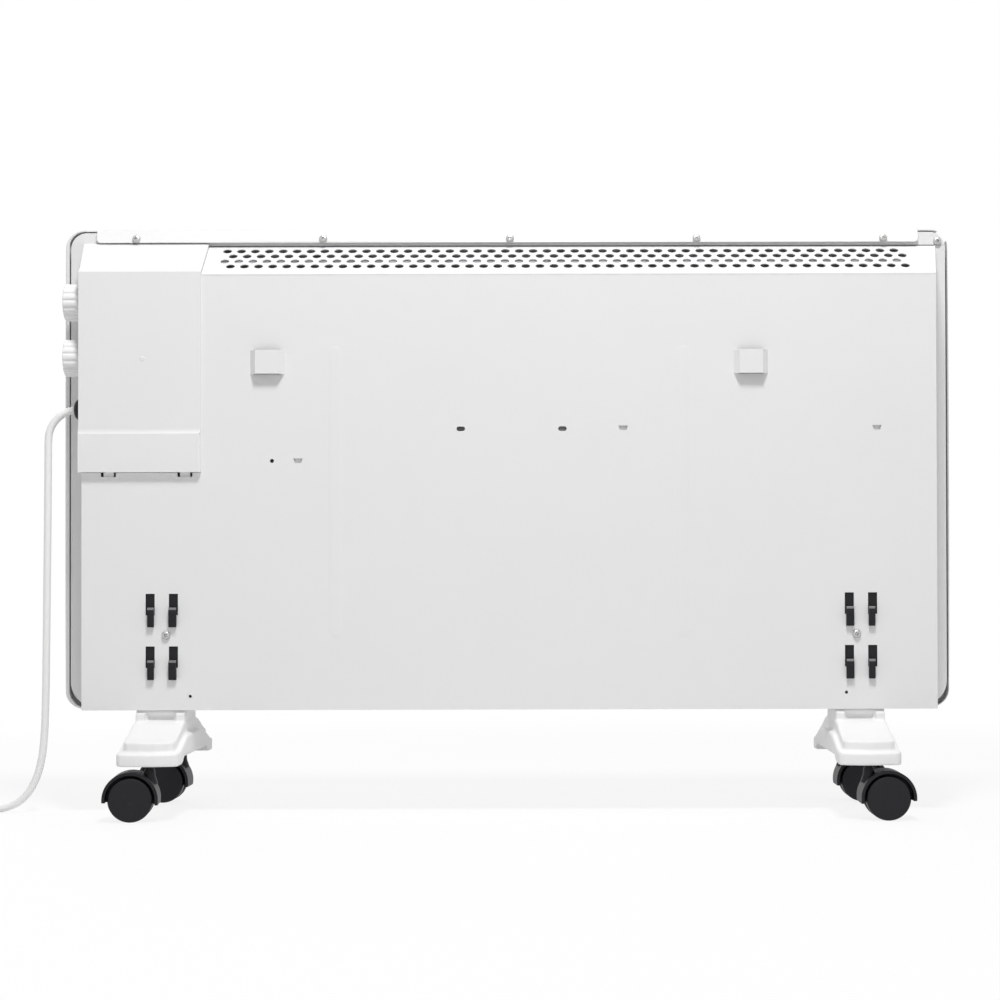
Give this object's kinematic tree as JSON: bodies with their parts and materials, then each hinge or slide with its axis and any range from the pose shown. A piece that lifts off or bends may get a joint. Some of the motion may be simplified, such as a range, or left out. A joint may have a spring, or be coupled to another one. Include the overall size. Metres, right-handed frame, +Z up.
{
  "type": "panel convector heater",
  "caption": "Slim rectangular panel convector heater with a perforated outlet slope, side knobs, castored feet and a supply cord.",
  "frame": {"origin": "on the floor, midway across the front panel and midway between the front and rear ends of the feet", "axes": "+Z up, +Y towards the heater's rear side, +X towards the side with the knobs and the cord, so the front panel faces -Y"},
  "size_m": [0.9769, 0.2341, 0.541],
  "materials": {
    "aluminium": "extruded",
    "caster_plastic": "black, moulded",
    "clip_plastic": "black, moulded",
    "cord_pvc": "white flexible sheath",
    "foot_plastic": "white, moulded",
    "gland_plastic": "black, moulded",
    "grey_plastic": "grey, moulded",
    "knob_plastic": "white, moulded",
    "plug_pins": "nickel plated",
    "screw_steel": "zinc plated",
    "steel": "bright",
    "white_paint": "white powder coat, satin",
    "zinc_sheet": "galvanised sheet"
  },
  "bodies": {
    "heater": {"cable_gland": "gland_plastic", "clip_screw_left": "screw_steel", "clip_screw_right": "screw_steel", "control_box_cover": "white_paint", "control_bracket": "zinc_sheet", "control_partition": "zinc_sheet", "cord_coil": "cord_pvc", "cord_tail": "cord_pvc", "corner_screw": "screw_steel", "deflector": "white_paint", "element_bracket_left": "zinc_sheet", "element_bracket_right": "zinc_sheet", "foot_clip_left": "clip_plastic", "foot_clip_right": "clip_plastic", "foot_left": "foot_plastic", "foot_right": "foot_plastic", "front_panel": "white_paint", "heating_element": "aluminium", "inlet_grille": "white_paint", "outlet_grille": "white_paint", "plug_body": "cord_pvc", "plug_pin_a": "plug_pins", "plug_pin_b": "plug_pins", "power_cord": "cord_pvc", "rail_screw_1": "screw_steel", "rail_screw_2": "screw_steel", "rail_screw_3": "screw_steel", "rail_screw_4": "screw_steel", "rail_screw_5": "screw_steel", "rear_cover": "white_paint", "reflector": "zinc_sheet", "selector_body": "grey_plastic", "side_frame_left": "white_paint", "side_frame_right": "white_paint", "terminal_block": "grey_plastic", "thermal_cutout": "grey_plastic", "thermostat_body": "grey_plastic", "top_frame": "white_paint", "top_rail": "white_paint"},
    "thermostat_dial": {"thermostat_knob": "knob_plastic", "thermostat_shaft": "steel"},
    "selector_dial": {"selector_knob": "knob_plastic", "selector_shaft": "steel"},
    "caster_rear_left": {"caster_rear_left_hood": "caster_plastic", "caster_rear_left_axle": "steel"},
    "caster_rear_left_wheel_a": {"caster_rear_left_wheel_a": "caster_plastic"},
    "caster_rear_left_wheel_b": {"caster_rear_left_wheel_b": "caster_plastic"},
    "caster_front_left": {"caster_front_left_hood": "caster_plastic", "caster_front_left_axle": "steel"},
    "caster_front_left_wheel_a": {"caster_front_left_wheel_a": "caster_plastic"},
    "caster_front_left_wheel_b": {"caster_front_left_wheel_b": "caster_plastic"},
    "caster_rear_right": {"caster_rear_right_hood": "caster_plastic", "caster_rear_right_axle": "steel"},
    "caster_rear_right_wheel_a": {"caster_rear_right_wheel_a": "caster_plastic"},
    "caster_rear_right_wheel_b": {"caster_rear_right_wheel_b": "caster_plastic"},
    "caster_front_right": {"caster_front_right_hood": "caster_plastic", "caster_front_right_axle": "steel"},
    "caster_front_right_wheel_a": {"caster_front_right_wheel_a": "caster_plastic"},
    "caster_front_right_wheel_b": {"caster_front_right_wheel_b": "caster_plastic"}
  },
  "joints": [
    {"name": "thermostat_turn", "type": "hinge", "parent": "heater", "child": "thermostat_dial", "pos_m": [0.384, 0.01, 0.4692], "axis": [1, 0, 0], "range_deg": [0, 270]},
    {"name": "selector_turn", "type": "hinge", "parent": "heater", "child": "selector_dial", "pos_m": [0.384, 0.01, 0.418], "axis": [1, 0, 0], "range_deg": [0, 135]},
    {"name": "caster_rear_left_swivel", "type": "hinge", "parent": "heater", "child": "caster_rear_left", "pos_m": [0.3155, 0.087, 0.06], "axis": [0, 0, 1], "continuous": true},
    {"name": "caster_rear_left_wheel_a_spin", "type": "hinge", "parent": "caster_rear_left", "child": "caster_rear_left_wheel_a", "pos_m": [0.33144, 0.08839, 0.01975], "axis": [-0.0872, 0.9962, 0], "continuous": true},
    {"name": "caster_rear_left_wheel_b_spin", "type": "hinge", "parent": "caster_rear_left", "child": "caster_rear_left_wheel_b", "pos_m": [0.33144, 0.08839, 0.01975], "axis": [-0.0872, 0.9962, 0], "continuous": true},
    {"name": "caster_front_left_swivel", "type": "hinge", "parent": "heater", "child": "caster_front_left", "pos_m": [0.3155, -0.087, 0.06], "axis": [0, 0, 1], "continuous": true},
    {"name": "caster_front_left_wheel_a_spin", "type": "hinge", "parent": "caster_front_left", "child": "caster_front_left_wheel_a", "pos_m": [0.3315, -0.087, 0.01975], "axis": [0, 1, 0], "continuous": true},
    {"name": "caster_front_left_wheel_b_spin", "type": "hinge", "parent": "caster_front_left", "child": "caster_front_left_wheel_b", "pos_m": [0.3315, -0.087, 0.01975], "axis": [0, 1, 0], "continuous": true},
    {"name": "caster_rear_right_swivel", "type": "hinge", "parent": "heater", "child": "caster_rear_right", "pos_m": [-0.3225, 0.087, 0.06], "axis": [0, 0, 1], "continuous": true},
    {"name": "caster_rear_right_wheel_a_spin", "type": "hinge", "parent": "caster_rear_right", "child": "caster_rear_right_wheel_a", "pos_m": [-0.3385, 0.087, 0.01975], "axis": [0, -1, 0], "continuous": true},
    {"name": "caster_rear_right_wheel_b_spin", "type": "hinge", "parent": "caster_rear_right", "child": "caster_rear_right_wheel_b", "pos_m": [-0.3385, 0.087, 0.01975], "axis": [0, -1, 0], "continuous": true},
    {"name": "caster_front_right_swivel", "type": "hinge", "parent": "heater", "child": "caster_front_right", "pos_m": [-0.3225, -0.087, 0.06], "axis": [0, 0, 1], "continuous": true},
    {"name": "caster_front_right_wheel_a_spin", "type": "hinge", "parent": "caster_front_right", "child": "caster_front_right_wheel_a", "pos_m": [-0.3385, -0.087, 0.01975], "axis": [0, -1, 0], "continuous": true},
    {"name": "caster_front_right_wheel_b_spin", "type": "hinge", "parent": "caster_front_right", "child": "caster_front_right_wheel_b", "pos_m": [-0.3385, -0.087, 0.01975], "axis": [0, -1, 0], "continuous": true}
  ]
}
